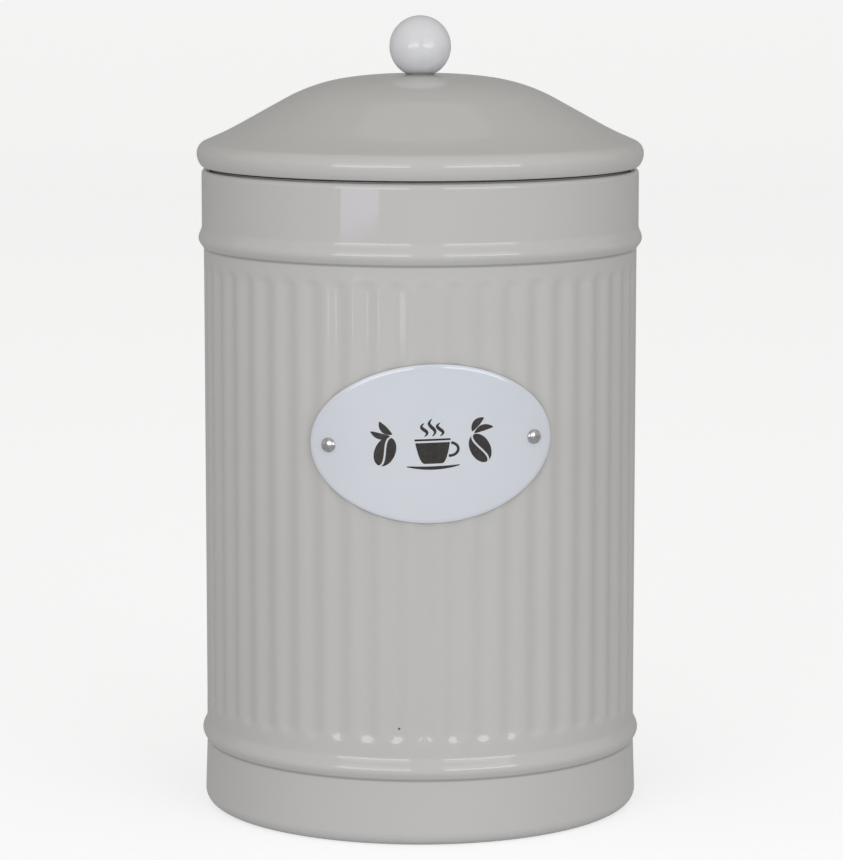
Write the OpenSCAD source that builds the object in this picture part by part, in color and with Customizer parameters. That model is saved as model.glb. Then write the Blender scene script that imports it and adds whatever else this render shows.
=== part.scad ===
// Coffee tin: a fluted sheet-steel canister with an oval plate on its front and a lift-off domed lid.
// The origin is at the centre of the foot, +Z is up, and the plate faces -Y.

/* [Tin] */
// Outer radius of the wall between the beads, at the crests of its flutes
wall_r = 60; // [50:0.5:80]
// Height of the rolled rim above the foot
rim_h = 177.7; // [130:0.1:240]
// Thickness of the steel sheet
sheet_t = 0.6; // [0.4:0.05:0.9]
// Radius of the rounded lower corner, outside
corner_r = 3.4; // [2:0.1:6]
// How far the wall flares from the lower bead down to the corner
foot_flare = 0.5; // [0:0.1:1.5]
// Width of the flat ring that the tin stands on
foot_w = 5; // [3:0.5:10]
// How far the band above the upper bead stands out from the flute crests
band_step = 0.5; // [0:0.1:1]
// Outer radius of the curl that forms the rim
curl_r = 1.2; // [1:0.1:2]

/* [Beads] */
// Height of the lower bead's crest above the foot
low_bead_h = 20.6; // [14:0.1:40]
// Distance from the rim down to the upper bead's crest
high_bead_drop = 19.2; // [12:0.1:40]
// How far the beads stand out
bead_rise = 1.2; // [0.5:0.05:2.5]
// How far a bead reaches above its crest
bead_above = 3.8; // [2:0.1:6]
// How far a bead reaches below its crest
bead_below = 2.7; // [2:0.1:6]
// Power of the wave below the crest: under 1 makes the fold at its foot tighter
bead_fold = 0.65; // [0.6:0.05:1]

/* [Flutes] */
// Number of flutes around the wall
flute_count = 48; // [24:1:60]
// Depth of a flute
flute_depth = 0.6; // [0.2:0.05:1]
// Radius of the round tool that presses a flute
flute_r = 10; // [4:0.5:12]
// Plain wall left between each bead's edge and the flutes' ends
flute_margin = 2.8; // [1:0.1:12]
// How far the row of flutes is turned round from the middle of the front, in degrees
flute_turn = -1.8; // [-7.5:0.1:7.5]

/* [Base] */
// Height of the base's upturned flange
base_flange_h = 9; // [6:0.5:14]
// How far the middle of the base is pressed up
base_dish = 1.8; // [0:0.1:4]
// Width of the flat border around the dished middle
base_border = 6; // [4:0.5:15]
// Gap between the base and the wall around it
base_gap = 0.05; // [0.02:0.01:0.2]

/* [Plate] */
// Width of the oval plate, across the front
plate_w = 64.5; // [40:0.5:80]
// Height of the oval plate
plate_tall = 42.5; // [25:0.5:60]
// Distance from the upper bead's crest down to the plate's centre
plate_drop = 49.4; // [30:0.2:90]
// Thickness of the plate
plate_t = 0.8; // [0.5:0.1:1.5]
// Tilt of the plate, its right side up
plate_tilt = 1.9; // [-3:0.1:3]
// Gap between the plate and the flute crests
plate_gap = 0.05; // [0.02:0.01:0.3]

/* [Rivets] */
// Distance between the two rivets, across the front
rivet_span = 54.6; // [30:0.2:60]
// Radius of the domed head
rivet_head_r = 2; // [1.2:0.1:3]
// Height of the domed head
rivet_head_h = 1.1; // [0.6:0.1:2]
// Radius of the shank
rivet_shank_r = 0.95; // [0.6:0.05:1.1]
// Gap around the shank in the wall, plate and washer
rivet_gap = 0.05; // [0.02:0.01:0.2]
// Radius of the washer inside the wall
rivet_washer_r = 2.4; // [1.8:0.1:4]
// Thickness of the washer inside the wall
rivet_washer_t = 0.6; // [0.4:0.1:1]

/* [Lid] */
// How far the brim stands out past the rim
lid_overhang = 1.3; // [0.5:0.1:4]
// Gap between the brim's lower edge and the rim
lid_gap = 0.7; // [0.5:0.05:1.5]
// Radius of the flat seat for the knob
seat_r = 6; // [5.5:0.5:8]
// Radius of the gentle arc around the seat
crown_r = 100; // [60:5:200]
// Slope where the crown meets the shoulder, in degrees
crown_angle = 8.5; // [4:0.5:12]
// Radius of the shoulder's arc
shoulder_r = 50; // [30:1:60]
// Slope of the straight flank, in degrees
flank_angle = 29; // [20:0.5:35]
// Radius of the hollow sweep above the brim
sweep_r = 75; // [30:1:90]
// Slope where the sweep meets the brim, in degrees
brim_angle = 23.5; // [12:0.5:28]
// Length of the straight part of the brim
brim_flat = 3; // [1:0.1:5]
// Radius of the brim's outer roll
roll_r = 3.55; // [2:0.05:5]
// Radius of the tuck under the roll
tuck_r = 5.2; // [3:0.1:6]
// Slope where the tuck ends, in degrees
tuck_angle = 129; // [115:1:140]
// Radius of the bend into the flat hem
hem_r = 0.8; // [0.7:0.05:1.5]
// Width of the flat hem under the brim
hem_w = 0.8; // [0.5:0.1:2]

/* [Collar and seal] */
// Gap between the collar and the curl of the rim
collar_gap = 0.6; // [0.3:0.05:1.5]
// How far the collar reaches below the rim
collar_depth = 12; // [6:0.5:18]
// Width of the lip turned in at the collar's lower edge
collar_lip = 1.6; // [1:0.1:4]
// Gap between the closed seal and the rim
seal_gap = 0.3; // [0.25:0.05:0.5]
// Gap between the seal and the collar and hem beside it
seal_side_gap = 0.05; // [0.02:0.01:0.2]

/* [Knob] */
// Radius of the ball
knob_r = 8.5; // [7:0.1:14]
// Radius of the flat under the ball
knob_flat_r = 4.3; // [4:0.1:6]
// Thickness of the washer under the ball
knob_washer_t = 0.3; // [0.2:0.1:1]
// Radius of the threaded insert
insert_r = 3.1; // [2.8:0.1:3.6]
// Length of the threaded insert
insert_len = 8; // [5:0.5:10]
// Gap around the insert in the ball
insert_gap = 0.05; // [0.02:0.01:0.1]
// Radius of the screw's shank
screw_r = 2; // [1.5:0.1:2.2]
// Gap around the screw in the insert
screw_gap = 0.05; // [0.02:0.01:0.1]
// Gap around the screw in the lid and washers
screw_hole_gap = 0.25; // [0.1:0.05:0.5]
// Length of the shank above the lid
screw_reach = 7; // [4:0.5:9]
// Radius of the screw's pan head
screw_head_r = 3.8; // [3:0.1:5]
// Height of the screw's pan head
screw_head_h = 2.4; // [1.5:0.1:3]
// Radius of the flat washer
flat_washer_r = 5; // [4.2:0.1:5.4]
// Thickness of the flat washer
flat_washer_t = 0.8; // [0.5:0.1:1.2]
// Radius of the spring washer
spring_washer_r = 3.6; // [3:0.1:4.5]
// Thickness of the spring washer
spring_washer_t = 0.9; // [0.6:0.1:1.2]

/* [Hidden] */
$fn = 96;
paint = [0.70, 0.69, 0.66];
enamel = [0.82, 0.83, 0.85];
glaze = [0.92, 0.92, 0.93];
steel = [0.66, 0.67, 0.68];
brass = [0.80, 0.66, 0.36];
rubber = [0.12, 0.11, 0.10];
nylon = [0.60, 0.59, 0.56];

// Steps along a bead and along each bend of the sheet
bead_steps = 16;
bend_steps = 10;
// Points around the oval plate
oval_points = 96;
// How far a cutting shape reaches past what it cuts
past = 1;

// Tin: heights and radii that follow from the driving sizes
high_bead_h = rim_h - high_bead_drop;
rim_r = wall_r + band_step;
mouth_r = rim_r - 2 * curl_r;
foot_r = wall_r + foot_flare - corner_r;
foot_in_r = foot_r - foot_w;
flute_low = low_bead_h + bead_above + flute_margin;
flute_high = high_bead_h - bead_below - flute_margin;
wall_in_r = wall_r - flute_depth - sheet_t;

// Plate and rivets
plate_h = high_bead_h - plate_drop;
plate_in_r = wall_r + plate_gap;
plate_face_r = plate_in_r + plate_t;
rivet_angle = asin(rivet_span / 2 * cos(plate_tilt) / plate_face_r);
rivet_lift = rivet_span / 2 * sin(plate_tilt);
rivet_hole_r = rivet_shank_r + rivet_gap;
rivet_washer_gap = 0.1;
rivet_washer_face = wall_in_r - rivet_washer_gap;
rivet_tail_face = rivet_washer_face - rivet_washer_t;
rivet_tail_h = 0.8;
rivet_tail_r = 1.6;

// Lid: the joins of its arcs, with the seat's top at height zero
lid_r = rim_r + lid_overhang;
seat_edge = [seat_r, 0];
crown_end = on_arc(seat_edge, 0, crown_angle, crown_r);
shoulder_end = on_arc(crown_end, crown_angle, flank_angle, shoulder_r);
roll_start_x = lid_r - roll_r * (1 - sin(brim_angle));
sweep_end_x = roll_start_x - brim_flat;
sweep_start_x = sweep_end_x - sweep_r * (sin(flank_angle) - sin(brim_angle));
sweep_start = [sweep_start_x, shoulder_end.y - (sweep_start_x - shoulder_end.x) * tan(flank_angle)];
sweep_end = on_arc(sweep_start, flank_angle, brim_angle, -sweep_r);
roll_start = [roll_start_x, sweep_end.y - brim_flat * tan(brim_angle)];
roll_end = on_arc(roll_start, brim_angle, 90, roll_r);
tuck_end = on_arc(roll_end, 90, tuck_angle, tuck_r);
hem_end = on_arc(tuck_end, tuck_angle, 180, hem_r);
hem_in_r = hem_end.x - hem_w;
brim_h = rim_h + lid_gap;
seat_h = brim_h - hem_end.y;

// Collar and seal
collar_r = mouth_r - collar_gap;
collar_low = rim_h - collar_depth;
flange_low = brim_h + sheet_t;
flange_side_gap = 0.1;
flange_r = hem_end.x - flange_side_gap;
collar_bend_r = 1;

// Knob and its fixing
knob_flat_h = seat_h + knob_washer_t;
knob_mid_h = knob_flat_h + sqrt(knob_r * knob_r - knob_flat_r * knob_flat_r);
screw_hole_r = screw_r + screw_hole_gap;
seat_low = seat_h - sheet_t;
flat_washer_low = seat_low - flat_washer_t;
spring_washer_low = flat_washer_low - spring_washer_t;
insert_recess = 0.2;
insert_low = knob_flat_h + insert_recess;
knob_washer_r = knob_flat_r - 0.3;
screw_head_taper = 0.6;
screw_slot_w = 1.1;
screw_slot_depth = 1.2;
spring_slot_w = 1;

// A point on an arc that leaves p at slope a0 and has turned to slope a1; slopes fall outwards from level
function on_arc(p, a0, a1, r) = p + r * [sin(a1) - sin(a0), cos(a1) - cos(a0)];

// The arc's points, moved inwards by the sheet's inset
function bend(p, a0, a1, r, inset) = [
    for (i = [0:bend_steps])
        on_arc(p - inset * [sin(a0), cos(a0)], a0, a0 + (a1 - a0) * i / bend_steps, r - inset)
];

// Points of a circular arc about c, from angle a0 to a1
function arc(c, r, a0, a1) = [
    for (i = [0:bend_steps]) c + r * [cos(a0 + (a1 - a0) * i / bend_steps), sin(a0 + (a1 - a0) * i / bend_steps)]
];

function reversed(points) = [for (i = [len(points) - 1:-1:0]) points[i]];

// A bead: a raised cosine wave that carries the radius from r0 below it to r1 above it.
// Below the crest the wave is shorter and ends in a tighter fold.
function bead(h, r0, r1, inset) = [
    for (i = [-bead_steps:bead_steps])
        let (u = i / bead_steps)
        let (reach = u < 0 ? bead_below : bead_above)
        let (power = u < 0 ? bead_fold : 1)
            [r0 + (r1 - r0) * (u + 1) / 2 + bead_rise * pow((1 + cos(180 * u)) / 2, power) - inset, h + u * reach]
];

// The wall from the foot up to the start of the rim's curl, without flutes
function wall_line(inset) = concat(
    [[foot_in_r, inset]],
    arc([foot_r, corner_r], corner_r - inset, -90, 0),
    bead(low_bead_h, wall_r, wall_r, inset),
    bead(high_bead_h, wall_r, rim_r, inset),
    [[rim_r - inset, rim_h - curl_r]]
);

// The dome from the screw's hole out to the hem's inner edge
function lid_line(inset) = concat(
    [[screw_hole_r, -inset]],
    bend(seat_edge, 0, crown_angle, crown_r, inset),
    bend(crown_end, crown_angle, flank_angle, shoulder_r, inset),
    bend(sweep_start, flank_angle, brim_angle, -sweep_r, inset),
    bend(roll_start, brim_angle, 90, roll_r, inset),
    bend(roll_end, 90, tuck_angle, tuck_r, inset),
    bend(tuck_end, tuck_angle, 180, hem_r, inset),
    [[hem_in_r, hem_end.y + inset]]
);

function oval(w, h) = [
    for (i = [0:oval_points - 1]) [w / 2 * cos(360 * i / oval_points), h / 2 * sin(360 * i / oval_points)]
];

// Solid of revolution inside a line, closed on the axis
module turned_solid(line, low, high) {
    rotate_extrude() polygon(concat([[0, low]], line, [[0, high]]));
}

// Round-ended bars that press the flutes; a thicker bar makes the inner face of the same sheet.
// Only the sector of each bar that meets the wall is made.
module flute_tools(extra) {
    bar_r = flute_r + extra;
    reach = sqrt(flute_r * flute_r - (flute_r - flute_depth) * (flute_r - flute_depth));
    low = flute_low + reach;
    high = flute_high - reach;
    half_pitch = 180 / flute_count;
    half_sector = asin(min(0.9, (reach + wall_r * sin(half_pitch)) / 2 / flute_r));
    for (i = [0:flute_count - 1])
        rotate([0, 0, 2 * half_pitch * i + flute_turn - 90])
            translate([wall_r - flute_depth + flute_r, 0, 0])
                rotate([0, 0, 180 - half_sector])
                    rotate_extrude(angle = 2 * half_sector)
                        intersection() {
                            union() {
                                translate([0, low]) circle(bar_r);
                                translate([0, low]) square([bar_r, high - low]);
                                translate([0, high]) circle(bar_r);
                            }
                            translate([0, low - bar_r - past])
                                square([bar_r + past, high - low + 2 * (bar_r + past)]);
                        }
}

// Places a piece that points outwards along +Z on a rivet's axis; side is -1 on the left and 1 on the right
module at_rivet(side, r) {
    translate([0, 0, plate_h + side * rivet_lift])
        rotate([0, 0, side * rivet_angle - 90])
            translate([r, 0, 0])
                rotate([0, 90, 0])
                    children();
}

module rivet_holes() {
    for (side = [-1, 1])
        at_rivet(side, rivet_tail_face)
            cylinder(r = rivet_hole_r, h = plate_face_r - rivet_tail_face + past);
}

// An oval bar through the front of the tin, tilted as the plate is
module front_prism() {
    translate([0, 0, plate_h])
        rotate([90, -plate_tilt, 0])
            linear_extrude(wall_r + 2 * past) polygon(oval(plate_w, plate_tall));
}

module tube(r, inner_r, low, high) {
    translate([0, 0, low])
        difference() {
            cylinder(r = r, h = high - low);
            translate([0, 0, -past]) cylinder(r = inner_r, h = high - low + 2 * past);
        }
}

module body_wall() {
    color(paint) {
        difference() {
            turned_solid(wall_line(0), 0, rim_h - curl_r);
            flute_tools(0);
            difference() {
                turned_solid(concat([[foot_in_r, -past]], wall_line(sheet_t), [[rim_r - sheet_t, rim_h]]), -past, rim_h);
                flute_tools(sheet_t);
            }
            rivet_holes();
        }
        rotate_extrude()
            polygon(concat(
                arc([rim_r - curl_r, rim_h - curl_r], curl_r, 0, 270),
                reversed(arc([rim_r - curl_r, rim_h - curl_r], curl_r - sheet_t, 0, 270))
            ));
    }
}

module base_disc() {
    inset = sheet_t + base_gap;
    border_in_r = foot_r - base_border;
    dish_r = border_in_r - base_dish;
    color(paint)
        rotate_extrude()
            polygon(concat(
                [[0, inset + base_dish], [dish_r, inset + base_dish], [border_in_r, inset]],
                arc([foot_r, corner_r], corner_r - inset, -90, 0),
                [[wall_r - inset, base_flange_h], [wall_r - inset - sheet_t, base_flange_h]],
                reversed(arc([foot_r, corner_r], corner_r - inset - sheet_t, -90, 0)),
                [[border_in_r, inset + sheet_t], [dish_r, inset + base_dish + sheet_t], [0, inset + base_dish + sheet_t]]
            ));
}

module name_plate() {
    color(enamel)
        difference() {
            intersection() {
                tube(plate_face_r, plate_in_r, plate_h - plate_tall, plate_h + plate_tall);
                front_prism();
            }
            rivet_holes();
        }
}

// A domed head on a shank whose end is spread over the washer inside
module rivet(side) {
    dome_r = (rivet_head_r * rivet_head_r + rivet_head_h * rivet_head_h) / (2 * rivet_head_h);
    dome_angle = asin(rivet_head_r / dome_r);
    shank_len = plate_face_r - rivet_tail_face;
    color(steel)
        at_rivet(side, plate_face_r)
            rotate_extrude()
                polygon(concat(
                    [[0, -shank_len - rivet_tail_h], [rivet_tail_r, -shank_len - rivet_tail_h]],
                    [[rivet_tail_r, -shank_len], [rivet_shank_r, -shank_len], [rivet_shank_r, 0]],
                    arc([0, rivet_head_h - dome_r], dome_r, 90 - dome_angle, 90)
                ));
}

module rivet_washer(side) {
    color(steel)
        at_rivet(side, rivet_tail_face)
            tube(rivet_washer_r, rivet_hole_r, 0, rivet_washer_t);
}

module plate_rivet_left() { rivet(-1); }
module plate_rivet_right() { rivet(1); }
module rivet_washer_left() { rivet_washer(-1); }
module rivet_washer_right() { rivet_washer(1); }

module lid_dome() {
    color(paint)
        translate([0, 0, seat_h])
            rotate_extrude()
                polygon(concat(lid_line(0), reversed(lid_line(sheet_t))));
}

module lid_collar() {
    lip_r = collar_r - collar_bend_r;
    color(paint)
        rotate_extrude()
            polygon(concat(
                [[flange_r, flange_low], [flange_r, flange_low + sheet_t], [collar_r - sheet_t, flange_low + sheet_t]],
                reversed(arc([lip_r, collar_low + collar_bend_r], collar_bend_r - sheet_t, -90, 0)),
                [[collar_r - collar_lip, collar_low + sheet_t], [collar_r - collar_lip, collar_low]],
                arc([lip_r, collar_low + collar_bend_r], collar_bend_r, -90, 0),
                [[collar_r, flange_low]]
            ));
}

module lid_seal() {
    color(rubber)
        tube(hem_in_r - seal_side_gap, collar_r + seal_side_gap, rim_h + seal_gap, flange_low);
}

module knob_ball() {
    color(glaze)
        difference() {
            translate([0, 0, knob_mid_h]) sphere(knob_r);
            translate([0, 0, knob_flat_h - knob_r]) cylinder(r = 2 * knob_r, h = knob_r);
            translate([0, 0, knob_flat_h - past])
                cylinder(r = insert_r + insert_gap, h = insert_low - knob_flat_h + insert_len + insert_gap + past);
        }
}

module knob_washer() {
    color(nylon) tube(knob_washer_r, screw_hole_r, seat_h, knob_flat_h);
}

module knob_insert() {
    color(brass) tube(insert_r, screw_r + screw_gap, insert_low, insert_low + insert_len);
}

module knob_screw() {
    color(steel) {
        translate([0, 0, spring_washer_low]) cylinder(r = screw_r, h = seat_h - spring_washer_low + screw_reach);
        translate([0, 0, spring_washer_low - screw_head_h])
            difference() {
                cylinder(r1 = screw_head_r - screw_head_taper, r2 = screw_head_r, h = screw_head_h);
                for (turn = [0, 90])
                    rotate([0, 0, turn])
                        translate([-screw_head_r / 2, -screw_slot_w / 2, -past])
                            cube([screw_head_r, screw_slot_w, screw_slot_depth + past]);
            }
    }
}

module screw_washer() {
    color(steel) tube(flat_washer_r, screw_hole_r, flat_washer_low, seat_low);
}

module spring_washer() {
    color(steel)
        difference() {
            tube(spring_washer_r, screw_hole_r, spring_washer_low, flat_washer_low);
            rotate([0, 0, 60])
                translate([0, -spring_slot_w / 2, spring_washer_low - past])
                    cube([spring_washer_r + past, spring_slot_w, spring_washer_t + 2 * past]);
        }
}

body_wall();
base_disc();
name_plate();
plate_rivet_left();
plate_rivet_right();
rivet_washer_left();
rivet_washer_right();
lid_dome();
lid_collar();
lid_seal();
knob_ball();
knob_washer();
knob_insert();
knob_screw();
screw_washer();
spring_washer();
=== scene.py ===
"""The looks of a fluted sheet-steel coffee tin with an oval plate and a lift-off domed lid.

Shapes are worked out in millimetres and turned into metres when their mesh is made. Most are lines of
(radius, height) that are turned about an axis; the rest are grids of points. The plate faces -Y and the tin
stands on z = 0.
"""

import math

import bpy
import numpy as np
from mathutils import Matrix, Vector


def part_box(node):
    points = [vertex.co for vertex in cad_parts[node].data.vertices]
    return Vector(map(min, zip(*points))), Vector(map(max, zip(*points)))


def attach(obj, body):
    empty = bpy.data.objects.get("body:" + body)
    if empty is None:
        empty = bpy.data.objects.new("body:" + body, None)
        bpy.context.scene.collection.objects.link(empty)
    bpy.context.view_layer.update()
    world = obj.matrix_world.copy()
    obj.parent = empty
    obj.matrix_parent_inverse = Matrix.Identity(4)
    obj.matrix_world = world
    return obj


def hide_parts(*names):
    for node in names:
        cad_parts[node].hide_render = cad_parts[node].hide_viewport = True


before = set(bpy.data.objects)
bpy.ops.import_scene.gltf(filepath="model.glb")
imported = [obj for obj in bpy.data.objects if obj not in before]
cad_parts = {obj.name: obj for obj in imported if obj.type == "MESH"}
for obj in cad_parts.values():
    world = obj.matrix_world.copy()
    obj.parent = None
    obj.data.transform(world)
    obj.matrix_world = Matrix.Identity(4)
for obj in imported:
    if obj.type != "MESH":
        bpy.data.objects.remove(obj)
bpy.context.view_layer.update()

MM = 0.001
TIN = "tin"
LID = "lid"


# Sizes that the frame gives, in millimetres

def low_of(node):
    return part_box(node)[0].z / MM


def top_of(node):
    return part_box(node)[1].z / MM


def radius_of(node):
    low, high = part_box(node)
    return (high.x - low.x) / 2 / MM


# The tin's sheet
SHEET = 0.6
BEAD_RISE = 1.2
BEAD_ABOVE = 3.8
BEAD_BELOW = 2.7
BEAD_FOLD = 0.65
BAND_STEP = 0.5
FOOT_FLARE = 0.5
CORNER_R = 3.4
FOOT_W = 4.8
CURL_R = 1.2
LOW_BEAD_H = 20.6
HIGH_BEAD_DROP = 19.2
SEAM_RISE = 0.14
SEAM_HALF_W = 0.95
SEAM_EDGE = 0.35

RIM_H = top_of("body_wall")
WALL_R = radius_of("body_wall") - BEAD_RISE - BAND_STEP / 2
RIM_R = WALL_R + BAND_STEP
HIGH_BEAD_H = RIM_H - HIGH_BEAD_DROP
FOOT_R = WALL_R + FOOT_FLARE - CORNER_R

# The flutes
FLUTES = 48
FLUTE_DEPTH = 0.6
FLUTE_MARGIN = 2.8
FLUTE_TURN = math.radians(-1.8)
FLUTE_LOW = LOW_BEAD_H + BEAD_ABOVE + FLUTE_MARGIN
FLUTE_HIGH = HIGH_BEAD_H - BEAD_BELOW - FLUTE_MARGIN
FLUTE_PITCH = 2 * math.pi * WALL_R / FLUTES
FLUTE_END = 3.6
COLUMNS_PER_FLUTE = 9

# The lid
LID_R = radius_of("lid_dome")
SEAT_H = top_of("lid_dome")
SCREW_HOLE_R = 2.25
SKIRT_R = RIM_R - 2 * CURL_R - 0.6
SEAL_FIT = 0.05

# The knob
KNOB_R = radius_of("knob_ball")
KNOB_FLAT_H = low_of("knob_ball")
KNOB_MID_H = top_of("knob_ball") - KNOB_R

# The plate
PLATE_W = 64.5
PLATE_TALL = 42.5
PLATE_TILT = math.radians(1.9)
PLATE_BACK_R = WALL_R + 0.05
PLATE_T = 0.8
PLATE_FACE_R = PLATE_BACK_R + PLATE_T
PLATE_H = (low_of("name_plate") + top_of("name_plate")) / 2
RIVET_SPAN = 54.6


# Meshes

def facing_out(points, faces):
    """Turns every face round if the closed surface's signed volume is negative: the sum over the faces
    of a . (b x c), two such terms to a four-sided face."""
    first = points[[face[0] for face in faces]]
    second = points[[face[1] for face in faces]]
    third = points[[face[2] for face in faces]]
    last = points[[face[-1] for face in faces]]
    volume = np.einsum("ij,ij->", first, np.cross(second, third))
    volume += np.einsum("ij,ij->", first, np.cross(third, last))
    return faces if volume > 0 else [face[::-1] for face in faces]


def make_piece(name, points, faces, material, body, nodes=(), crease=40.0):
    """A smooth-shaded closed piece from points in millimetres. It rides on a body in place of CAD nodes."""
    mesh = bpy.data.meshes.new(name)
    mesh.from_pydata((points * MM).tolist(), [], facing_out(points, faces))
    mesh.validate()
    mesh.shade_smooth()
    mesh.set_sharp_from_angle(angle=math.radians(crease))
    mesh.materials.append(material)
    piece = bpy.data.objects.new(name, mesh)
    bpy.context.scene.collection.objects.link(piece)
    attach(piece, body)
    if nodes:
        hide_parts(*nodes)
    return piece


def grid_faces(rows, columns, wrap_rows=False, wrap_columns=True):
    """Four-sided faces over a grid whose points are numbered row by row."""
    row = np.arange(rows if wrap_rows else rows - 1)[:, None]
    column = np.arange(columns if wrap_columns else columns - 1)[None, :]
    next_row = (row + 1) % rows * columns
    next_column = (column + 1) % columns
    row = row * columns
    corners = [row + column, row + next_column, next_row + next_column, next_row + column]
    return np.stack([np.broadcast_to(c, corners[0].shape) for c in corners], -1).reshape(-1, 4).tolist()


def turned(line, around):
    """Points and faces of a line of (radius, height) turned about the axis: x = r cos a, y = r sin a, z = h.
    An end on the axis becomes one pole point; a line that has no end on the axis is a closed loop."""
    line = np.asarray(line, float)
    poles = [line[0, 0] < 1e-6, line[-1, 0] < 1e-6]
    rings = line[int(poles[0]):len(line) - int(poles[1])]
    angle = 2 * np.pi * np.arange(around) / around
    radius = rings[:, :1]
    points = np.stack([
        radius * np.cos(angle),
        radius * np.sin(angle),
        np.broadcast_to(rings[:, 1:], (len(rings), around)),
    ], -1).reshape(-1, 3)
    faces = grid_faces(len(rings), around, wrap_rows=not any(poles))
    step = np.arange(around)
    for is_pole, end, start in ((poles[0], line[0], 0), (poles[1], line[-1], (len(rings) - 1) * around)):
        if not is_pole:
            continue
        tip = len(points)
        points = np.vstack([points, [[0.0, 0.0, end[1]]]])
        ring = [start + step, start + (step + 1) % around]
        order = (ring[1], ring[0]) if start == 0 else (ring[0], ring[1])
        fan = np.stack([np.full(around, tip), *order], -1)
        faces += fan.tolist()
    return points, faces


def slope_arc(start, a0, a1, radius, inset=0.0, steps=12):
    """Points of an arc that leaves start at slope a0 and has turned to slope a1. Slopes are in degrees and
    fall outwards from level: start + radius (sin a - sin a0, cos a - cos a0). The inset moves the arc
    inwards, as the inner face of a sheet."""
    a = np.radians(np.linspace(a0, a1, steps + 1))
    begin = np.asarray(start) - inset * np.array([np.sin(a[0]), np.cos(a[0])])
    turn = np.stack([np.sin(a) - np.sin(a[0]), np.cos(a) - np.cos(a[0])], -1)
    return begin + (radius - inset) * turn


def straight(start, end, support=0.2):
    """Points along a straight stretch between two curves. Those near its ends keep its shading flat."""
    start, end = np.asarray(start, float), np.asarray(end, float)
    near = support / np.linalg.norm(end - start)
    share = np.array([near, 2 * near, 0.5, 1 - 2 * near, 1 - near])[:, None]
    return start + (end - start) * share


def circle_arc(centre, radius, a0, a1, steps=12):
    """Points of a circle from angle a0 to a1 in degrees: centre + radius (cos a, sin a)."""
    a = np.radians(np.linspace(a0, a1, steps + 1))
    return np.asarray(centre) + radius * np.stack([np.cos(a), np.sin(a)], -1)


def rounded(corners, radius, steps=5):
    """A closed line through corners, each rounded by a curve that leaves and meets its sides a radius away:
    (1 - t)^2 leave + 2 t (1 - t) corner + t^2 meet."""
    corners = np.asarray(corners, float)
    before = np.roll(corners, 1, 0) - corners
    after = np.roll(corners, -1, 0) - corners
    before_length = np.linalg.norm(before, axis=1, keepdims=True)
    after_length = np.linalg.norm(after, axis=1, keepdims=True)
    reach = np.minimum(radius, 0.45 * np.minimum(before_length, after_length))
    leave = corners + before / before_length * reach
    meet = corners + after / after_length * reach
    t = np.linspace(0, 1, steps + 1)[None, :, None]
    curve = (1 - t) ** 2 * leave[:, None] + 2 * t * (1 - t) * corners[:, None] + t ** 2 * meet[:, None]
    return curve.reshape(-1, 2)


# Materials

def new_material(name):
    material = bpy.data.materials.new(name)
    material.use_nodes = True
    nodes = material.node_tree.nodes
    nodes.clear()
    output = nodes.new("ShaderNodeOutputMaterial")
    shader = nodes.new("ShaderNodeBsdfPrincipled")
    material.node_tree.links.new(shader.outputs[0], output.inputs[0])
    return material, shader


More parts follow.
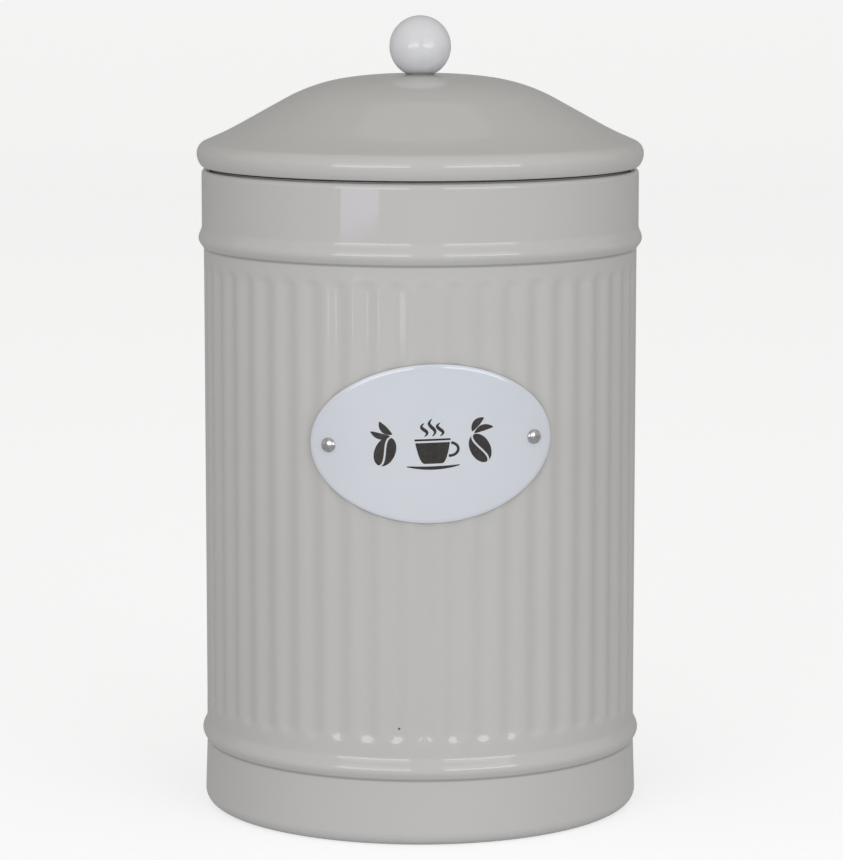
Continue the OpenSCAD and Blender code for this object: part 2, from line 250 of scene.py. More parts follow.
class Pattern:
    """Short names for the nodes that a procedural finish is made of, all read in Object coordinates."""

    def __init__(self, material):
        self.tree = material.node_tree
        self.place = self.tree.nodes.new("ShaderNodeTexCoord").outputs["Object"]

    def link(self, source, target):
        self.tree.links.new(source, target)

    def noise(self, scale, detail=2.0, stretch=(1.0, 1.0, 1.0)):
        mapping = self.tree.nodes.new("ShaderNodeMapping")
        mapping.inputs["Scale"].default_value = stretch
        self.link(self.place, mapping.inputs["Vector"])
        node = self.tree.nodes.new("ShaderNodeTexNoise")
        node.inputs["Scale"].default_value = scale
        node.inputs["Detail"].default_value = detail
        self.link(mapping.outputs[0], node.inputs["Vector"])
        return node.outputs["Fac"]

    def range(self, value, low, high, to_low=0.0, to_high=1.0):
        node = self.tree.nodes.new("ShaderNodeMapRange")
        self.link(value, node.inputs["Value"])
        for name, number in (("From Min", low), ("From Max", high), ("To Min", to_low), ("To Max", to_high)):
            node.inputs[name].default_value = number
        return node.outputs[0]

    def mix(self, factor, first, second):
        node = self.tree.nodes.new("ShaderNodeMix")
        node.data_type = "RGBA"
        self.link(factor, node.inputs["Factor"])
        for socket, value in ((node.inputs["A"], first), (node.inputs["B"], second)):
            if isinstance(value, tuple):
                socket.default_value = (*value, 1.0)
            else:
                self.link(value, socket)
        return node.outputs["Result"]

    def math(self, operation, first, second):
        node = self.tree.nodes.new("ShaderNodeMath")
        node.operation = operation
        for socket, value in zip(node.inputs, (first, second)):
            if isinstance(value, (int, float)):
                socket.default_value = value
            else:
                self.link(value, socket)
        return node.outputs[0]

    def distance_to(self, point):
        node = self.tree.nodes.new("ShaderNodeVectorMath")
        node.operation = "DISTANCE"
        self.link(self.place, node.inputs[0])
        node.inputs[1].default_value = point
        return node.outputs["Value"]

    def near_height(self, height, full, clear):
        """1 at a height on the object, and 0 further than clear from it; all in metres."""
        apart = self.tree.nodes.new("ShaderNodeSeparateXYZ")
        self.link(self.place, apart.inputs[0])
        distance = self.math("ABSOLUTE", self.math("SUBTRACT", apart.outputs["Z"], height), 0.0)
        return self.range(distance, full, clear, 1.0, 0.0)

    def distance_from_axis(self):
        flat = self.tree.nodes.new("ShaderNodeVectorMath")
        flat.operation = "MULTIPLY"
        self.link(self.place, flat.inputs[0])
        flat.inputs[1].default_value = (1.0, 1.0, 0.0)
        length = self.tree.nodes.new("ShaderNodeVectorMath")
        length.operation = "LENGTH"
        self.link(flat.outputs[0], length.inputs[0])
        return length.outputs["Value"]

    def bump(self, height, strength, distance):
        node = self.tree.nodes.new("ShaderNodeBump")
        node.inputs["Strength"].default_value = strength
        node.inputs["Distance"].default_value = distance
        self.link(height, node.inputs["Height"])
        return node.outputs[0]


def set_constants(shader, **values):
    for name, value in values.items():
        shader.inputs[name.replace("_", " ")].default_value = value


PAINT = (0.564, 0.558, 0.546)
PAINT_DEEP = (0.548, 0.541, 0.528)
# Painted shade: the colour and share of the darker line in the fold under each bead.
FOLD_SHADE = (0.20, 0.19, 0.17)
FOLD_SHADE_SHARE = 0.55
CHIP = (0.10, 0.09, 0.08)
CHIP_TURN, CHIP_H = -8.5, 32.1
CHIP_R, CHIP_ROUGH = 0.22, 0.10


def flute_depth_at(angle, height):
    """Depth of the flutes: a cosine well across each flute, which closes in a half circle at its ends.
    The distance is measured from the flute's middle line, or past its ends from the end's centre."""
    pitch_angle = 2 * np.pi / FLUTES
    across = (np.mod((angle - FLUTE_TURN) / pitch_angle + 0.5, 1.0) - 0.5) * FLUTE_PITCH
    along = np.maximum(np.maximum(FLUTE_LOW + FLUTE_END - height, height - FLUTE_HIGH + FLUTE_END), 0.0)
    reach = np.minimum(np.hypot(across, along * FLUTE_PITCH / 2 / FLUTE_END) / (FLUTE_PITCH / 2), 1.0)
    return FLUTE_DEPTH * (0.5 + 0.5 * np.cos(np.pi * reach))


def on_wall(degrees, height):
    """A point of the wall's outside in metres, at degrees to the right of the plate's middle."""
    a = math.radians(degrees)
    radius = (WALL_R - float(flute_depth_at(a, height))) * MM
    return (radius * math.sin(a), -radius * math.cos(a), height * MM)


def stove_paint():
    """Glossy stove paint: a faint cloudy change of tone, fine orange peel, a painted shade line in the fold
    under each bead, and one small chip low on the front."""
    material, shader = new_material("stove_paint")
    pattern = Pattern(material)
    cloud = pattern.range(pattern.noise(14.0, 3.0), 0.35, 0.65)
    clean = pattern.mix(cloud, PAINT_DEEP, PAINT)
    # Painted shade: a darker line in the fold under each bead, where the bead's shade falls.
    folds = [(height - BEAD_BELOW + 0.15) * MM for height in (LOW_BEAD_H, HIGH_BEAD_H)]
    fold_shade = pattern.math("ADD", *[pattern.near_height(fold, 0.10 * MM, 0.60 * MM) for fold in folds])
    tone = pattern.mix(pattern.math("MULTIPLY", fold_shade, FOLD_SHADE_SHARE), clean, FOLD_SHADE)
    ragged = pattern.range(pattern.noise(2400.0), 0.0, 1.0, -CHIP_ROUGH * MM, CHIP_ROUGH * MM)
    from_chip = pattern.math("ADD", pattern.distance_to(on_wall(CHIP_TURN, CHIP_H)), ragged)
    chip = pattern.range(from_chip, CHIP_R * MM, (CHIP_R + 0.18) * MM, 1.0, 0.0)
    pattern.link(pattern.mix(chip, tone, CHIP), shader.inputs["Base Color"])
    gloss = pattern.range(pattern.noise(55.0, 3.0), 0.3, 0.7, 0.045, 0.075)
    pattern.link(gloss, shader.inputs["Roughness"])
    pattern.link(pattern.bump(pattern.noise(420.0, 1.0), 0.05, 0.00008), shader.inputs["Normal"])
    set_constants(shader, IOR=1.5)
    return material


def white_enamel():
    """Fired white enamel: cool white, very glossy, a little wavy, and dark at its rim: partly dark ground
    under thin enamel, partly painted shade along the plate's edge next to the wall.
    """
    material, shader = new_material("white_enamel")
    pattern = Pattern(material)
    cloud = pattern.range(pattern.noise(40.0), 0.35, 0.65)
    white = pattern.mix(cloud, (0.66, 0.69, 0.75), (0.685, 0.71, 0.755))
    # Painted shade: the edge next to the wall is darkened, partly as dark ground and partly as the shadow
    # line under the plate.
    low, high = (PLATE_BACK_R + 0.30) * MM, (PLATE_BACK_R + 0.50) * MM
    rim = pattern.range(pattern.distance_from_axis(), low, high, 1.0, 0.0)
    pattern.link(pattern.mix(rim, white, (0.11, 0.105, 0.10)), shader.inputs["Base Color"])
    pattern.link(pattern.range(pattern.noise(90.0), 0.3, 0.7, 0.05, 0.10), shader.inputs["Roughness"])
    pattern.link(pattern.bump(pattern.noise(160.0, 1.0), 0.06, 0.0002), shader.inputs["Normal"])
    set_constants(shader, IOR=1.52, Coat_Weight=0.5, Coat_Roughness=0.04)
    return material


def fired_ink():
    """Dark printed enamel, a little uneven where it was fired."""
    material, shader = new_material("fired_ink")
    pattern = Pattern(material)
    cloud = pattern.range(pattern.noise(900.0, 3.0), 0.3, 0.7)
    black = pattern.mix(cloud, (0.020, 0.018, 0.015), (0.036, 0.032, 0.027))
    pattern.link(black, shader.inputs["Base Color"])
    pattern.link(pattern.range(pattern.noise(300.0), 0.3, 0.7, 0.18, 0.28), shader.inputs["Roughness"])
    return material


def white_glaze():
    """Thick glossy white glaze over a ball."""
    material, shader = new_material("white_glaze")
    pattern = Pattern(material)
    cloud = pattern.range(pattern.noise(70.0), 0.35, 0.65)
    white = pattern.mix(cloud, (0.695, 0.705, 0.735), (0.715, 0.72, 0.74))
    pattern.link(white, shader.inputs["Base Color"])
    pattern.link(pattern.range(pattern.noise(200.0), 0.3, 0.7, 0.06, 0.12), shader.inputs["Roughness"])
    pattern.link(pattern.bump(pattern.noise(260.0, 1.0), 0.04, 0.0002), shader.inputs["Normal"])
    set_constants(shader, IOR=1.5, Subsurface_Weight=1.0, Subsurface_Scale=0.008)
    set_constants(shader, Subsurface_Radius=(1.0, 1.0, 1.0))
    return material


def bare_metal(name, bright, dull, roughness, scale, stretch):
    """Bare or plated metal with fine marks, which a stretch under 1 draws out along its axis."""
    material, shader = new_material(name)
    pattern = Pattern(material)
    marks = pattern.range(pattern.noise(scale, 4.0, stretch), 0.3, 0.7)
    pattern.link(pattern.mix(marks, dull, bright), shader.inputs["Base Color"])
    pattern.link(pattern.range(pattern.noise(scale, 3.0), 0.3, 0.7, *roughness), shader.inputs["Roughness"])
    pattern.link(pattern.bump(marks, 0.08, 0.00005), shader.inputs["Normal"])
    set_constants(shader, Metallic=1.0)
    return material


def black_rubber_gap_shade():
    """Matt black moulded rubber with a fine bloom; its black also serves as painted shade in the gap under
    the lid's brim.
    """
    material, shader = new_material("black_rubber_gap_shade")
    pattern = Pattern(material)
    bloom = pattern.range(pattern.noise(500.0, 4.0), 0.35, 0.75)
    black = pattern.mix(bloom, (0.010, 0.009, 0.008), (0.022, 0.021, 0.019))
    pattern.link(black, shader.inputs["Base Color"])
    pattern.link(pattern.range(bloom, 0.0, 1.0, 0.55, 0.75), shader.inputs["Roughness"])
    pattern.link(pattern.bump(bloom, 0.15, 0.00005), shader.inputs["Normal"])
    return material


def grey_nylon_shade_line():
    """Warm grey nylon: dull, with a fine moulded grain; its dark grey also stands in for the shadow line
    under the ball, as painted shade.
    """
    material, shader = new_material("grey_nylon_shade_line")
    pattern = Pattern(material)
    grain = pattern.range(pattern.noise(1500.0, 3.0), 0.35, 0.65)
    grey = pattern.mix(grain, (0.28, 0.27, 0.245), (0.33, 0.32, 0.29))
    pattern.link(grey, shader.inputs["Base Color"])
    pattern.link(pattern.range(grain, 0.0, 1.0, 0.35, 0.50), shader.inputs["Roughness"])
    pattern.link(pattern.bump(grain, 0.10, 0.00003), shader.inputs["Normal"])
    set_constants(shader, Subsurface_Weight=0.3, Subsurface_Scale=0.001)
    return material


paint = stove_paint()
enamel = white_enamel()
ink = fired_ink()
glaze = white_glaze()
nickel = bare_metal("bright_nickel", bright=(0.70, 0.69, 0.69), dull=(0.46, 0.46, 0.47),
                    roughness=(0.07, 0.16), scale=900.0, stretch=(1.0, 1.0, 1.0))
zinc = bare_metal("zinc_plate", bright=(0.62, 0.63, 0.65), dull=(0.48, 0.49, 0.50),
                  roughness=(0.25, 0.40), scale=1200.0, stretch=(1.0, 1.0, 0.3))
brass = bare_metal("turned_brass", bright=(0.78, 0.60, 0.30), dull=(0.62, 0.45, 0.20),
                   roughness=(0.20, 0.35), scale=1500.0, stretch=(0.2, 0.2, 3.0))
rubber = black_rubber_gap_shade()
nylon = grey_nylon_shade_line()


# The tin's wall

def bead(height, r0, r1, inset):
    """A bead across the sheet: a raised cosine wave that carries the radius from r0 below to r1 above.
    Below its crest the wave is shorter, and a power under 1 draws the fold at its foot in tighter. u runs
    from -1 below to 1 above, with its rows closest together at the fold."""
    rows = 7 if inset else 28
    fold_end = -0.7
    fold = np.linspace(-1, fold_end, rows // 3, endpoint=False)
    u = np.concatenate([fold, np.linspace(fold_end, 1, rows)])
    wave = (1 + np.cos(np.pi * u)) / 2
    wave = np.where(u < 0, wave ** BEAD_FOLD, wave)
    radius = r0 + (r1 - r0) * (u + 1) / 2 + BEAD_RISE * wave - inset
    return np.stack([radius, height + u * np.where(u < 0, BEAD_BELOW, BEAD_ABOVE)], -1)


def flute_rows(count):
    """Heights of the rows between the beads: close together at the flutes' round ends, few between them."""
    end_h = FLUTE_END + 0.4
    low_end = FLUTE_LOW + end_h * np.linspace(0, 1, count)
    high_end = FLUTE_HIGH - end_h * np.linspace(1, 0, count)
    middle = np.linspace(low_end[-1], high_end[0], 5)[1:-1]
    return np.concatenate([low_end, middle, high_end])


def wall_line(inset):
    """The sheet's section from the foot to the rim's curl, before the flutes are pressed."""
    heights = flute_rows(6 if inset else 10)
    foot = [FOOT_R - FOOT_W, inset]
    corner = circle_arc((FOOT_R, CORNER_R), CORNER_R - inset, -90, 0, 8)
    low_bead = bead(LOW_BEAD_H, WALL_R, WALL_R, inset)
    fluted = np.stack([np.full(len(heights), WALL_R - inset), heights], -1)
    high_bead = bead(HIGH_BEAD_H, WALL_R, RIM_R, inset)
    rim = [RIM_R - inset, RIM_H - CURL_R]
    return np.concatenate([
        [foot], straight(foot, corner[0]), corner, straight(corner[-1], low_bead[0]), low_bead,
        straight(low_bead[-1], fluted[0]), fluted, straight(fluted[-1], high_bead[0]), high_bead,
        straight(high_bead[-1], rim), [rim],
    ])


def seam_rise_at(angle):
    """The welded side seam at the back: a flat rib whose rise falls to nothing in a straight line at each
    edge, by the distance round the wall from its middle."""
    across = np.abs(np.mod(angle, 2 * np.pi) - np.pi) * WALL_R
    return SEAM_RISE * np.clip((SEAM_HALF_W - across) / SEAM_EDGE, 0.0, 1.0)


def wall_columns():
    """Angles of the wall's columns from the middle of the front: even ones, and more at the seam."""
    count = FLUTES * COLUMNS_PER_FLUTE
    even = FLUTE_TURN + 2 * np.pi * np.arange(count) / count
    across = np.array([0.3, SEAM_HALF_W - SEAM_EDGE, SEAM_HALF_W, SEAM_HALF_W + 0.15])
    return np.unique(np.concatenate([even, np.pi - across / WALL_R, np.pi + across / WALL_R]))


def make_wall():
    """The rolled sheet: outer face, curled rim and inner face as one closed surface. A point of
    its section goes to x = r sin a, y = -r cos a, where r is its radius less the flute's depth at that angle
    and height, plus the seam's rise on the outer face."""
    curl_centre = (RIM_R - CURL_R, RIM_H - CURL_R)
    outer = wall_line(0.0)
    inner = wall_line(SHEET)[::-1]
    line = np.concatenate([
        outer[:-1],
        circle_arc(curl_centre, CURL_R, 0, 270, 12),
        circle_arc(curl_centre, CURL_R - SHEET, 270, 0, 7),
        inner[1:],
    ])
    is_outer = np.arange(len(line)) < len(outer)
    angle = wall_columns()[None, :]
    height = np.broadcast_to(line[:, 1:], (len(line), angle.size))
    pressed = (height > FLUTE_LOW) & (height < FLUTE_HIGH)
    radius = line[:, :1] - flute_depth_at(angle, height) * pressed
    radius = radius + seam_rise_at(angle) * is_outer[:, None]
    points = np.stack([radius * np.sin(angle), -radius * np.cos(angle), height], -1).reshape(-1, 3)
    faces = grid_faces(len(line), angle.size, wrap_rows=True)
    return make_piece("wall_sheet", points, faces, paint, TIN, ["body_wall"])


def make_base():
    """The pressed bottom: a dished disc with an upturned flange, from its under face to its upper face."""
    fit, dish = 0.05, 1.8
    bend_r, bend_w, bend_h = 1.2, 0.8, 0.35
    bend_out = FOOT_R - 6.0 - bend_w
    flange_top = top_of("base_disc")

    def face(low):
        return np.concatenate([
            [[0.0, low + dish]],
            slope_arc((bend_out - 2 * dish, low + dish), 0, 45, bend_r, 0.0, 6),
            slope_arc((bend_out, low + bend_h), 45, 0, -bend_r, 0.0, 6),
            circle_arc((FOOT_R, CORNER_R), CORNER_R - low, -90, 0, 10),
            [[WALL_R - low, flange_top]],
        ])

    line = np.concatenate([face(SHEET + fit), face(2 * SHEET + fit)[::-1]])
    points, faces = turned(line, 256)
    return make_piece("base_sheet", points, faces, paint, TIN, ["base_disc"])


# The lid

CROWN_R, CROWN_ANGLE = 100.0, 8.5
SHOULDER_R, FLANK_ANGLE = 50.0, 29.0
SWEEP_R, BRIM_ANGLE = 75.0, 23.5
BRIM_FLAT = 3.0
ROLL_R = 3.55
TUCK_R, TUCK_ANGLE = 5.2, 129.0
HEM_R, HEM_W = 0.8, 0.8
KNOB_SEAT_R = 6.0


def slope_point(start, a0, a1, radius):
    """The far end of a slope arc."""
    return slope_arc(start, a0, a1, radius, 0.0, 1)[-1]


def dome_line(inset):
    """The dome's section from the screw's hole to the hem: crown, shoulder, straight flank, hollow sweep,
    rolled brim, tuck and flat hem, each an arc that starts at the slope where the last one ends."""
    seat_edge = np.array([KNOB_SEAT_R, SEAT_H])
    crown_end = slope_point(seat_edge, 0, CROWN_ANGLE, CROWN_R)
    shoulder_end = slope_point(crown_end, CROWN_ANGLE, FLANK_ANGLE, SHOULDER_R)
    rise = [math.sin(math.radians(a)) for a in (FLANK_ANGLE, BRIM_ANGLE)]
    roll_x = LID_R - ROLL_R * (1 - rise[1])
    sweep_x = roll_x - BRIM_FLAT - SWEEP_R * (rise[0] - rise[1])
    sweep_y = shoulder_end[1] - (sweep_x - shoulder_end[0]) * math.tan(math.radians(FLANK_ANGLE))
    sweep_start = np.array([sweep_x, sweep_y])
    sweep_end = slope_point(sweep_start, FLANK_ANGLE, BRIM_ANGLE, -SWEEP_R)
    roll_start = np.array([roll_x, sweep_end[1] - BRIM_FLAT * math.tan(math.radians(BRIM_ANGLE))])
    roll_end = slope_point(roll_start, BRIM_ANGLE, 90, ROLL_R)
    tuck_end = slope_point(roll_end, 90, TUCK_ANGLE, TUCK_R)
    hem_end = slope_point(tuck_end, TUCK_ANGLE, 180, HEM_R)
    hole = [SCREW_HOLE_R, SEAT_H - inset]
    crown = slope_arc(seat_edge, 0, CROWN_ANGLE, CROWN_R, inset, 12)
    shoulder = slope_arc(crown_end, CROWN_ANGLE, FLANK_ANGLE, SHOULDER_R, inset, 24)
    sweep = slope_arc(sweep_start, FLANK_ANGLE, BRIM_ANGLE, -SWEEP_R, inset, 10)
    roll = slope_arc(roll_start, BRIM_ANGLE, 90, ROLL_R, inset, 20)
    return np.concatenate([
        [hole], straight(hole, crown[0]), crown, shoulder[1:], straight(shoulder[-1], sweep[0]), sweep,
        straight(sweep[-1], roll[0]), roll,
        slope_arc(roll_end, 90, TUCK_ANGLE, TUCK_R, inset, 12)[1:],
        slope_arc(tuck_end, TUCK_ANGLE, 180, HEM_R, inset, 10)[1:],
        [[hem_end[0] - HEM_W, hem_end[1] + inset]],
    ])


def make_dome():
    """The lid's sheet: the dome's section along its outside and back inside, turned about the axis."""
    line = np.concatenate([dome_line(0.0), dome_line(SHEET)[::-1]])
    points, faces = turned(line, 320)
    return make_piece("dome_sheet", points, faces, paint, LID, ["lid_dome"])


def make_collar():
    """The ring inside the mouth: an outward flange, a straight skirt and a lip turned in below, as a closed
    line of arcs and straight sides turned about the axis."""
    top, low = top_of("lid_collar"), low_of("lid_collar")
    flange_r = radius_of("lid_collar")
    lip_in, lip_bend_r, flange_bend_r = SKIRT_R - 1.6, 1.0, 0.6
    lip_bend = (SKIRT_R - lip_bend_r, low + lip_bend_r)
    half = SHEET / 2
    under = top - SHEET
    line = np.concatenate([
        circle_arc((flange_r - half, under + half), half, -90, 90, 8),
        slope_arc((SKIRT_R - SHEET + flange_bend_r, top), 0, -90, -flange_bend_r, 0.0, 6),
        circle_arc(lip_bend, lip_bend_r - SHEET, 0, -90, 6),
        circle_arc((lip_in + half, low + half), half, 90, 270, 8),
        circle_arc(lip_bend, lip_bend_r, -90, 0, 8),
        [[SKIRT_R, under]],
    ])
    points, faces = turned(line, 256)
    return make_piece("collar_ring", points, faces, paint, LID, ["lid_collar"])


def make_ring(name, node, inner_r, round_r, material, body, around):
    """A flat ring with softened corners in a node's place: a rounded rectangle turned about the axis."""
    low, top, outer_r = low_of(node), top_of(node), radius_of(node)
    line = rounded([(inner_r, low), (outer_r, low), (outer_r, top), (inner_r, top)], round_r)
    points, faces = turned(line, around)
    return make_piece(name, points, faces, material, body, [node])


def make_knob():
    """A ball with a flat under it, a softened edge round the flat, and the bore for its insert, turned about
    the axis. The flat meets the ball where sin a = (flat height - middle height) / radius."""
    flat_angle = math.degrees(math.asin((KNOB_FLAT_H - KNOB_MID_H) / KNOB_R))
    flat_r = KNOB_R * math.cos(math.radians(flat_angle))
    bore_r, bore_top = 3.15, KNOB_FLAT_H + 8.25
    above_edge = (flat_r + 0.6, KNOB_FLAT_H + 1.05)
    corners = rounded([above_edge, (flat_r, KNOB_FLAT_H), (bore_r, KNOB_FLAT_H)], 0.35).reshape(3, -1, 2)
    line = np.concatenate([
        [[0.0, KNOB_MID_H + KNOB_R]],
        circle_arc((0.0, KNOB_MID_H), KNOB_R, 88, flat_angle + 3, 60),
        corners[1],
        [[bore_r, KNOB_FLAT_H], [bore_r, bore_top], [0.0, bore_top]],
    ])
    points, faces = turned(line, 128)
    return make_piece("glazed_ball", points, faces, glaze, LID, ["knob_ball"])


# The plate, its rivets and its motif

def onto_plate(plan, lift):
    """Carries plan points (right, up) from the plate's middle onto the bent plate. They are tilted in the
    plan, angle = asin(right / face radius), and they stand off the plate's back by lift."""
    right = plan[..., 0] * math.cos(PLATE_TILT) - plan[..., 1] * math.sin(PLATE_TILT)
    up = plan[..., 0] * math.sin(PLATE_TILT) + plan[..., 1] * math.cos(PLATE_TILT)
    angle = np.arcsin(right / PLATE_FACE_R)
    radius = PLATE_BACK_R + lift
    return np.stack([radius * np.sin(angle), -radius * np.cos(angle), PLATE_H + up], -1)


def oval_inside(step, around):
    """Points a step inside the plate's outline, which is the oval (w/2 cos a, t/2 sin a) for a plate w wide
    and t tall. The step is along the outline's normal, (cos a / w, sin a / t) brought to length 1."""
    a = 2 * np.pi * np.arange(around) / around
    outline = np.stack([PLATE_W / 2 * np.cos(a), PLATE_TALL / 2 * np.sin(a)], -1)
    square = np.stack([np.cos(a) / PLATE_W, np.sin(a) / PLATE_TALL], -1)
    square /= np.linalg.norm(square, axis=1, keepdims=True)
    return outline - step * square


def make_plate():
    """The plate as rings of points from the middle of its back, round its edge, to the middle of its face.
    At the edge a ring lies a fixed step inside the outline; further in, rings shrink towards the middle.
    The edge is a small corner at the back, a tight bend, and a wide one that falls away from the face. The
    two bends share a slope where they meet."""
    around = 240
    shrink = np.linspace(0.06, 1.0, 16)[:, None, None]
    back = oval_inside(0.6, around) * shrink
    face = oval_inside(2.0, around) * shrink[::-1]
    back_r, tight_r, wide_r = 0.15, 0.4, 3.0
    tight_drop, wide_in = 0.557, 1.289
    edge = np.concatenate([
        circle_arc((back_r, back_r), back_r, 270, 180, 4),
        circle_arc((tight_r, PLATE_T - tight_drop), tight_r, 180, 110, 8),
        circle_arc((wide_in, PLATE_T - wide_r), wide_r, 109, 90, 9),
        [[1.4, PLATE_T], [1.6, PLATE_T]],
    ])
    plans = np.stack([*back, *[oval_inside(step, around) for step in edge[:, 0]], *face])
    lifts = np.concatenate([np.zeros(len(back)), edge[:, 1], np.full(len(face), PLATE_T)])
    rings = onto_plate(plans, lifts[:, None])
    count = len(rings) * around
    poles = onto_plate(np.zeros((2, 2)), np.array([0.0, PLATE_T]))
    points = np.concatenate([rings.reshape(-1, 3), poles])
    step = np.arange(around)
    last = count - around
    faces = grid_faces(len(rings), around)
    faces += np.stack([np.full(around, count), (step + 1) % around, step], -1).tolist()
    faces += np.stack([np.full(around, count + 1), last + step, last + (step + 1) % around], -1).tolist()
    return make_piece("oval_plate", points, faces, enamel, TIN, ["name_plate"])


def along_rivet(points, side):
    """Turns points made about +Z so that +Z points out of the wall at a rivet; z = 0 is the plate's face."""
    reach = side * RIVET_SPAN / 2
    angle = math.asin(reach * math.cos(PLATE_TILT) / PLATE_FACE_R)
    right = np.array([math.cos(angle), math.sin(angle), 0.0])
    up = np.array([0.0, 0.0, 1.0])
    out = np.array([math.sin(angle), -math.cos(angle), 0.0])
    centre = PLATE_FACE_R * out + (PLATE_H + reach * math.sin(PLATE_TILT)) * up
    return centre + points @ np.array([right, up, out])


def make_rivet(name, node, side):
    """A domed head with a softened edge, its shank, and the tail spread over the washer inside, turned about
    its own axis. The dome is half an oval: radius = R cos a, height = low + (top - low) sin a."""
    head_r, head_h, shank_r = 2.0, 1.05, 0.95
    dome_low, edge_h, edge_in = 0.12, 0.10, 0.06
    tail_r, tail_top, tail_low, tail_round_r = 1.6, -2.75, -3.5, 0.4
    swell = np.radians(np.linspace(90, 4, 18))
    head = np.stack([head_r * np.cos(swell), dome_low + (head_h - dome_low) * np.sin(swell)], -1)
    line = np.concatenate([
        [[0.0, head_h]],
        head[1:],
        [[head_r, edge_h], [head_r - edge_in, 0.0], [shank_r, 0.0]],
        [[shank_r, tail_top], [tail_r, tail_top]],
        circle_arc((tail_r - tail_round_r, tail_low + tail_round_r), tail_round_r, 0, -90, 6),
        [[0.0, tail_low]],
    ])
    points, faces = turned(line, 64)
    return make_piece(name, along_rivet(points, side), faces, nickel, TIN, [node])


def ribbon(path, half_width, across=5):
    """A flat grid along a path of plan points: path + side * half width * normal, side from -1 to 1."""
    path = np.asarray(path, float)
    along = np.gradient(path, axis=0)
    along /= np.linalg.norm(along, axis=1, keepdims=True)
    normal = np.stack([-along[:, 1], along[:, 0]], -1)
    side = np.linspace(-1, 1, across)[None, :, None]
    width = np.broadcast_to(half_width, len(path))[:, None, None]
    return path[:, None] + side * width * normal[:, None]


def between(first, second, across=7):
    """A flat grid ruled from one plan curve to another: (1 - t) first + t second."""
    t = np.linspace(0, 1, across)[None, :, None]
    return (1 - t) * first[:, None] + t * second[:, None]


def slab(grid):
    """Points and faces of a thin printed layer over a flat grid: its face, its back and its edges."""
    lift_face, lift_back = PLATE_T + 0.05, PLATE_T - 0.03
    section = np.concatenate([onto_plate(grid, lift_face), onto_plate(grid[:, ::-1], lift_back)], axis=1)
    rows, columns = section.shape[:2]
    faces = grid_faces(rows, columns)
    faces.append(list(range(columns)))
    faces.append(list(range(rows * columns - 1, (rows - 1) * columns - 1, -1)))
    return section.reshape(-1, 3), faces


def bean(centre, size, turn):
    """A coffee bean: an oval split by an S-shaped gap. Each half is a grid from its side to the gap. Along t
    from one tip to the other, up = -size cos(pi t), the side is a share of size sin(pi t), and the gap's
    middle swings by a share of size sin(2 pi t)."""
    t = np.linspace(0.03, 0.97, 28)
    upright = -size * np.cos(np.pi * t)
    side = 0.66 * size * np.sin(np.pi * t)
    wave = 0.17 * size * np.sin(2 * np.pi * t)
    gap = 0.065 * size
    turn_by = np.array([[math.cos(turn), math.sin(turn)], [-math.sin(turn), math.cos(turn)]])
    grids = []
    for hand in (-1, 1):
        outside = np.stack([hand * np.maximum(side, hand * wave + 1.2 * gap), upright], -1)
        inside = np.stack([wave + hand * gap, upright], -1)
        grids.append(between(outside, inside) @ turn_by + np.array(centre))
    return grids


def leaf(root, tip, half_width):
    """A slim leaf between two plan points: its path bows by sin(pi t) to one side, and its half width swells
    with sin(pi t) to a power."""
    t = np.linspace(0, 1, 20)[:, None]
    root, tip = np.array(root, float), np.array(tip, float)
    bow = np.array([-(tip - root)[1], (tip - root)[0]]) * 0.12
    path = root + (tip - root) * t + bow * np.sin(np.pi * t)
    width = 0.08 + half_width * np.sin(np.pi * t[:, 0]) ** 0.8
    return ribbon(path, width)


def cup_grids():
    """A steaming cup on a saucer, in plan millimetres about its own middle. The bowl widens with the square
    root of its height, the handle is an arc of an oval, the saucer a parabola, and each wisp of steam one
    sine wave whose width swells and fades."""
    t = np.linspace(0, 1, 24)
    bowl_h = 5.6 * t - 3.6
    bowl_half = 2.3 + 2.5 * np.sqrt(t) - 0.2 * t
    bowl = ribbon(np.stack([np.zeros_like(t), bowl_h], -1), bowl_half, 9)
    rim = ribbon(np.stack([np.linspace(-4.75, 4.75, 24), np.full(24, 2.75)], -1), 0.26)
    turn = np.radians(np.linspace(78, -98, 26))
    handle = ribbon(np.stack([4.45 + 2.3 * np.cos(turn), 0.1 + 1.75 * np.sin(turn)], -1), 0.36)
    u = np.linspace(-1, 1, 26)
    saucer = ribbon(np.stack([7.0 * u, -4.75 + 0.55 * u ** 2], -1), 0.12 + 0.34 * (1 - u ** 2))
    steam = []
    for x, top in ((-2.1, 7.2), (0.0, 8.3), (2.1, 7.2)):
        path = np.stack([x + 0.75 * np.sin(2 * np.pi * t), 3.7 + (top - 3.7) * t], -1)
        steam.append(ribbon(path, 0.10 + 0.36 * np.sin(np.pi * t)))
    return [bowl, rim, handle, saucer, *steam]


def make_motif():
    """The printed motif: a steaming cup between two beans, each with a sprig of leaves."""
    drop = np.array([0.0, -1.6])
    grids = [grid + drop for grid in cup_grids()]
    for hand in (-1, 1):
        grids += bean((hand * 12.6, -1.7), 4.1, hand * 0.45)
        grids.append(leaf((hand * 10.6, 2.9), (hand * 13.8, 6.3), 0.85))
        grids.append(leaf((hand * 11.2, 2.4), (hand * 16.2, 3.7), 0.75))
    points, faces, start = [], [], 0
    for grid in grids:
        some_points, some_faces = slab(grid)
        some_faces = facing_out(some_points, some_faces)
        faces += [[index + start for index in face] for face in some_faces]
        points.append(some_points)
        start += len(some_points)
    return make_piece("printed_motif", np.concatenate(points), faces, ink, TIN, crease=30.0)


def finish_cad_node(node, material):
    """Gives a node whose own shape is right its real finish."""
    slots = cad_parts[node].data.materials
    slots.clear()
    slots.append(material)


make_wall()
make_base()
make_dome()
make_collar()
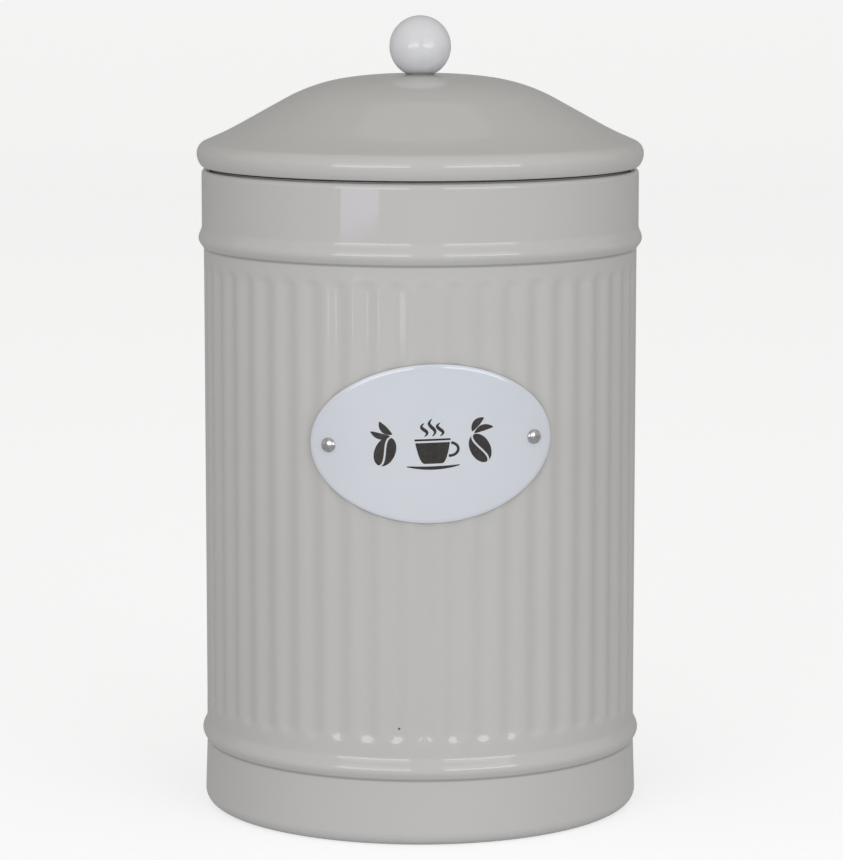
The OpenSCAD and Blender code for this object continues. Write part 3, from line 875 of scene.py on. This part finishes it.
# The seal is real rubber, and its black also stands in for the shade in the gap between lid and rim, as
# painted shade.
make_ring("seal_ring", "lid_seal", SKIRT_R + SEAL_FIT, 0.2, rubber, LID, 256)
make_knob()
# The washer's grey, darker than the glaze above it, also paints the shadow line under the ball.
make_ring("ball_washer", "knob_washer", SCREW_HOLE_R, 0.08, nylon, LID, 96)
make_plate()
make_rivet("rivet_left", "plate_rivet_left", -1)
make_rivet("rivet_right", "plate_rivet_right", 1)
make_motif()
finish_cad_node("knob_insert", brass)
for node in ("knob_screw", "screw_washer", "spring_washer"):
    finish_cad_node(node, zinc)
for node in ("rivet_washer_left", "rivet_washer_right"):
    finish_cad_node(node, nickel)


# Camera, floor and light

VIEW_TURN = math.radians(-3.1)
CAMERA_BACK = 17.66 * WALL_R * MM
CAMERA_UP = 4.230 * WALL_R * MM
CAMERA_PITCH = math.radians(8.03)


def round_the_tin(turn, distance, height):
    """A point at a turn from the camera's side, in degrees and positive to its right."""
    a = VIEW_TURN + math.radians(turn)
    return (distance * math.sin(a), -distance * math.cos(a), height)


def make_camera():
    data = bpy.data.cameras.new("camera")
    data.sensor_width = 36.0
    data.lens = 160.2
    data.shift_x = 0.0015
    data.clip_start = 0.05
    camera = bpy.data.objects.new("camera", data)
    camera.location = round_the_tin(0.0, CAMERA_BACK, CAMERA_UP)
    camera.rotation_euler = (math.pi / 2 - CAMERA_PITCH, 0.0, VIEW_TURN)
    bpy.context.scene.collection.objects.link(camera)
    bpy.context.scene.camera = camera


def make_floor():
    """A pale sweep, in metres: a floor that curves up into a backdrop well behind the tin. It looks white to
    the camera, and it casts a soft light that is a little stronger near the foot."""
    run_end, sweep_r, back_top, half_w = 2.2, 1.0, 5.0, 6.0
    curve = circle_arc((run_end, sweep_r), sweep_r, -85, 0, 17)
    line = np.concatenate([[(-4.0, 0.0), (run_end, 0.0)], curve, [(run_end + sweep_r, back_top)]])
    points = np.array([(x, y, z) for y, z in line for x in (-half_w, half_w)])
    mesh = bpy.data.meshes.new("sweep")
    mesh.from_pydata(points.tolist(), [], grid_faces(len(line), 2, wrap_columns=False))
    mesh.shade_smooth()
    floor = bpy.data.objects.new("sweep", mesh)
    bpy.context.scene.collection.objects.link(floor)
    material, shader = new_material("pale_sweep")
    pattern = Pattern(material)
    seen = pattern.tree.nodes.new("ShaderNodeLightPath").outputs["Is Camera Ray"]
    glow = pattern.range(pattern.distance_to((0.0, 0.0, 0.0)), 0.065, 0.13, 0.14, 0.09)
    cast = pattern.math("MULTIPLY", glow, pattern.math("SUBTRACT", 1.0, seen))
    strength = pattern.math("ADD", cast, pattern.math("MULTIPLY", seen, 0.635))
    pattern.link(strength, shader.inputs["Emission Strength"])
    set_constants(shader, Base_Color=(0.48, 0.49, 0.50, 1.0), Roughness=0.9, Specular_IOR_Level=0.1,
                  Emission_Color=(1.0, 1.0, 1.0, 1.0))
    mesh.materials.append(material)


BOX_DISTANCE = 1.2
COOL = (0.93, 0.965, 1.0)
LILAC = (0.76, 0.67, 1.0)


def add_softbox(name, turn, low, high, size_across, radiance, colour, roll=0.0):
    """A soft light that faces the tin from a turn to the camera's right, between two heights in metres.
    Its power is its radiance times pi times its area."""
    data = bpy.data.lights.new(name, "AREA")
    data.shape = "RECTANGLE"
    data.size = size_across
    data.size_y = high - low
    data.energy = radiance * math.pi * size_across * (high - low)
    data.color = colour
    lamp = bpy.data.objects.new(name, data)
    lamp.location = round_the_tin(turn, BOX_DISTANCE, (low + high) / 2)
    lamp.rotation_euler = (math.pi / 2, math.radians(roll), VIEW_TURN + math.radians(turn))
    lamp.visible_camera = False
    bpy.context.scene.collection.objects.link(lamp)


def make_light():
    """Two softboxes, each bright in its lower part and dim above; on the left also a low lilac flap and a
    strip close to the floor; and a warm grey room, which looks near white only to the camera."""
    for side, turn in (("left", -24.5), ("right", 31.5)):
        add_softbox(side + "_box", turn, 0.14, 0.44, 0.85, 3.3, COOL)
        add_softbox(side + "_box_top", turn, 0.44, 0.86, 0.85, 0.9, COOL)
    add_softbox("left_flap", -30.6, 0.064, 0.138, 0.42, 2.15, LILAC, -1.8)
    add_softbox("left_strip", -31.0, 0.002, 0.030, 0.12, 2.2, COOL)
    world = bpy.data.worlds.new("studio")
    world.use_nodes = True
    tree = world.node_tree
    back = tree.nodes["Background"]
    mix = tree.nodes.new("ShaderNodeMix")
    mix.data_type = "RGBA"
    mix.inputs["A"].default_value = (0.60, 0.575, 0.55, 1.0)
    mix.inputs["B"].default_value = (0.92, 0.92, 0.92, 1.0)
    tree.links.new(tree.nodes.new("ShaderNodeLightPath").outputs["Is Camera Ray"], mix.inputs["Factor"])
    tree.links.new(mix.outputs["Result"], back.inputs["Color"])
    bpy.context.scene.world = world


make_camera()
make_floor()
make_light()
bpy.context.scene.view_settings.view_transform = "Standard"
